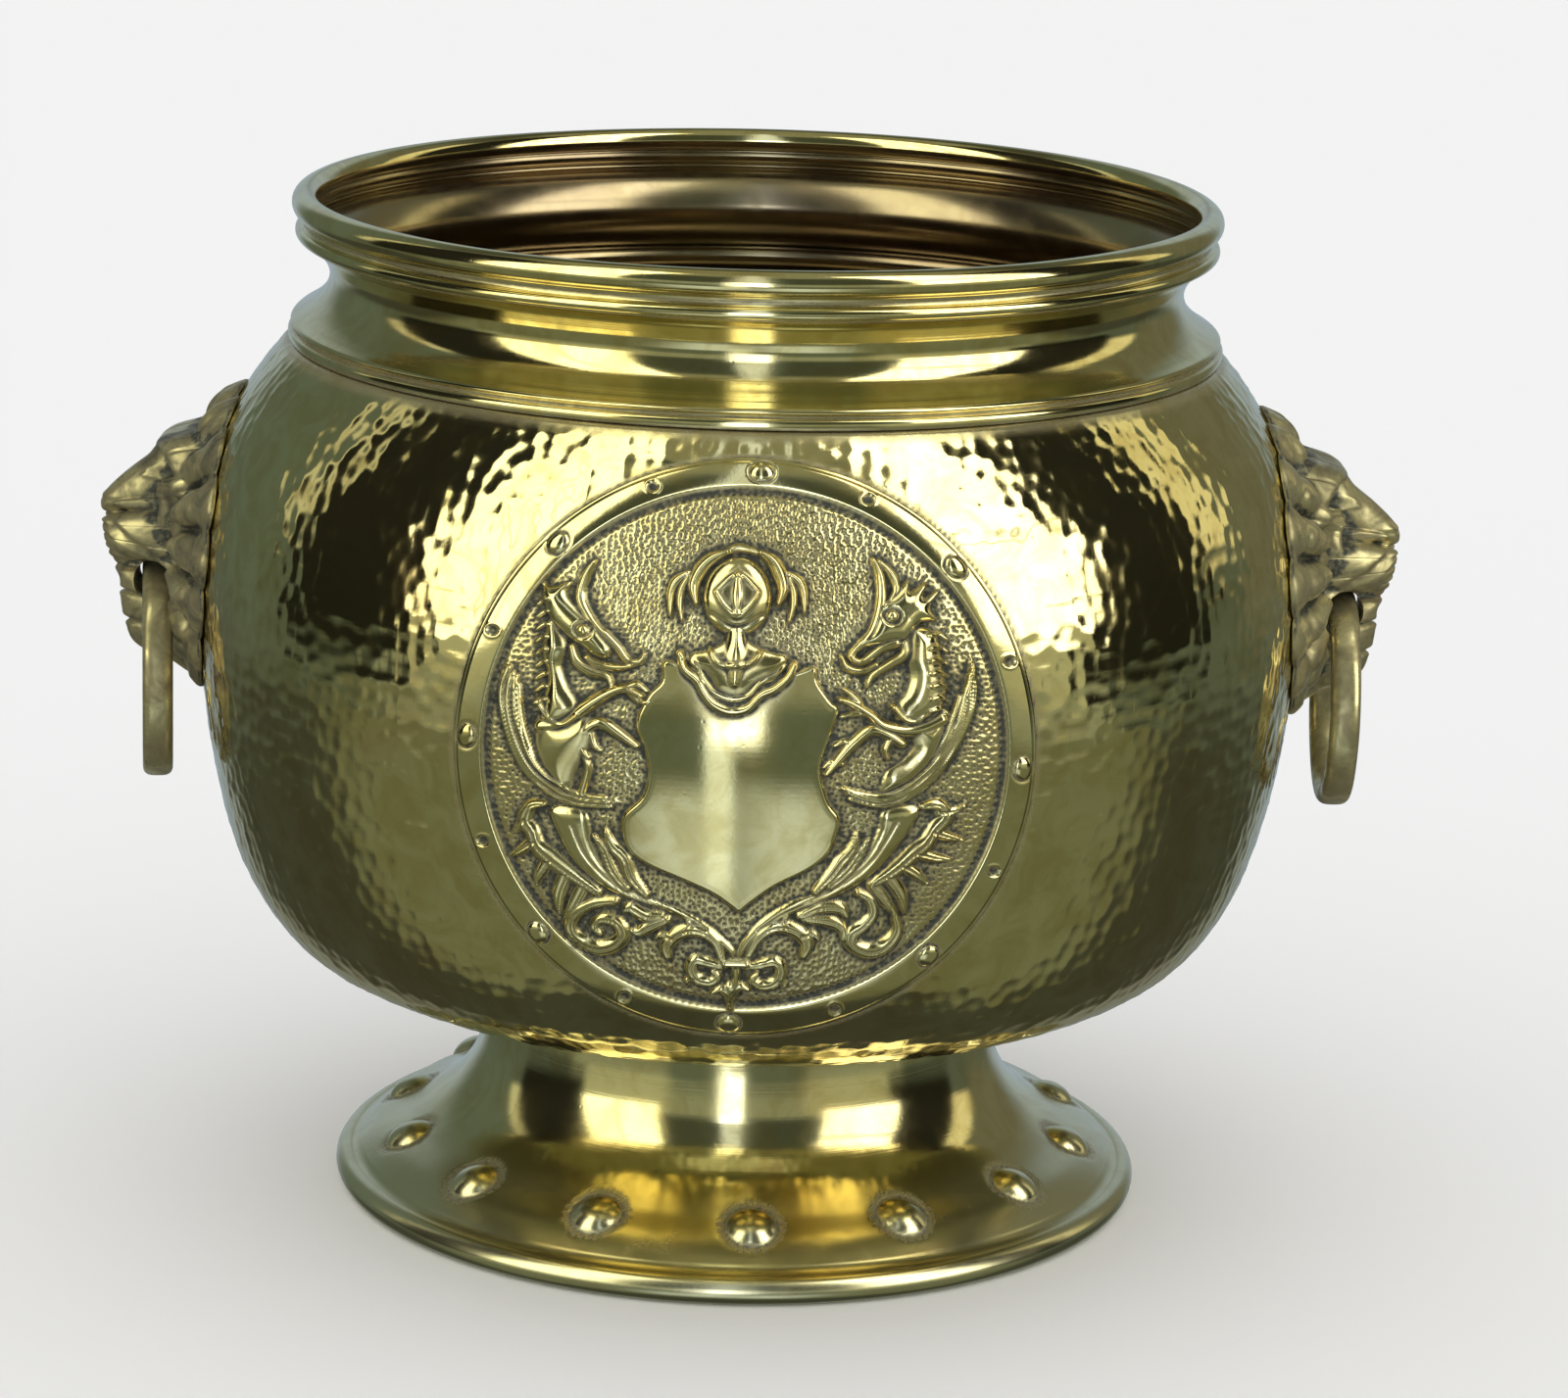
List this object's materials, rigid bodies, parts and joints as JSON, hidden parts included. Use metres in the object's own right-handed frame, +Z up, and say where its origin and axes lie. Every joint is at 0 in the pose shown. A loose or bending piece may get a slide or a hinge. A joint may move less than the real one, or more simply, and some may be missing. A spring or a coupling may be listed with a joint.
{
  "type": "planter pot",
  "caption": "Round hammered brass planter pot on a flared foot, with a rolled neck rim, a raised front roundel and lion-mask ring handles.",
  "frame": {"origin": "centre of the base plane that the foot's rolled edge stands on", "axes": "+Z up through the middle of the pot, the decorated roundel faces -Y, the handles are at -X (left) and +X (right)"},
  "size_m": [0.3532, 0.3, 0.2757],
  "materials": {
    "hammered_brass": "hand-hammered, polished, olive tarnish in the recesses",
    "spun_brass": "spun and polished, light tarnish",
    "cast_brass": "cast, worn bright on the high points, dark in the hollows",
    "ring_brass": "cast and filed, handled, slightly tarnished",
    "edge_wire": "drawn iron wire, hidden in the rolled edges",
    "fixing_brass": "plain, tarnished"
  },
  "bodies": {
    "pot": {"bowl": "hammered_brass", "neck_collar": "spun_brass", "rim_wire": "edge_wire", "pedestal_foot": "spun_brass", "foot_wire": "edge_wire", "foot_rivet_1": "fixing_brass", "foot_rivet_2": "fixing_brass", "foot_rivet_3": "fixing_brass", "foot_rivet_4": "fixing_brass", "rivet_burr_1": "fixing_brass", "rivet_burr_2": "fixing_brass", "rivet_burr_3": "fixing_brass", "rivet_burr_4": "fixing_brass", "lion_mask_left": "cast_brass", "lion_mask_right": "cast_brass", "mask_stud_upper_left": "fixing_brass", "mask_stud_lower_left": "fixing_brass", "mask_stud_upper_right": "fixing_brass", "mask_stud_lower_right": "fixing_brass", "mask_washer_upper_left": "fixing_brass", "mask_washer_lower_left": "fixing_brass", "mask_washer_upper_right": "fixing_brass", "mask_washer_lower_right": "fixing_brass", "mask_nut_upper_left": "fixing_brass", "mask_nut_lower_left": "fixing_brass", "mask_nut_upper_right": "fixing_brass", "mask_nut_lower_right": "fixing_brass"},
    "left_ring": {"ring_left": "ring_brass"},
    "right_ring": {"ring_right": "ring_brass"}
  },
  "joints": [
    {"name": "ring_left_swing", "type": "hinge", "parent": "pot", "child": "left_ring", "pos_m": [-0.1615, 0, 0.167], "axis": [-0.1122, 0.9937, 0], "range_deg": [-10, 100]},
    {"name": "ring_right_swing", "type": "hinge", "parent": "pot", "child": "right_ring", "pos_m": [0.1615, 0, 0.167], "axis": [0, -1, 0], "range_deg": [-10, 100]}
  ]
}
